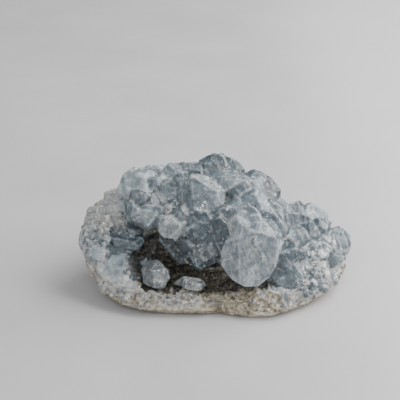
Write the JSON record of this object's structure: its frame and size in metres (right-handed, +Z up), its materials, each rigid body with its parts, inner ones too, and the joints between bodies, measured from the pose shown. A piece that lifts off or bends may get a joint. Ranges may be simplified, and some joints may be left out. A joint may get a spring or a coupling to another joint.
{
  "type": "celestite crystal cluster",
  "caption": "Pale blue celestite crystals heaped on a thin bowl of weathered rock, broken open at the front to show a dark hollow with single crystals on its floor; lies on its flat underside",
  "frame": {"origin": "on the surface that the piece lies on, under the middle of its bounding box", "axes": "+Z up; +X along the piece, to the right as seen from the front; the hollow opens toward -Y"},
  "size_m": [0.1002, 0.0658, 0.0451],
  "materials": {
    "weathered_rock": "rough weathered rock, tan outside and dark inside the hollow",
    "celestite": "pale grey-blue crystal, clear to milky, with flat shiny faces",
    "clear_celestite": "nearly colourless clear crystal with flat shiny faces"
  },
  "bodies": {
    "root": {"host_rock": "weathered_rock", "crystal_cluster": "celestite", "hollow_crystal_clear": "clear_celestite", "hollow_crystal_pale": "clear_celestite", "hollow_crystal_dark": "clear_celestite"}
  },
  "joints": []
}
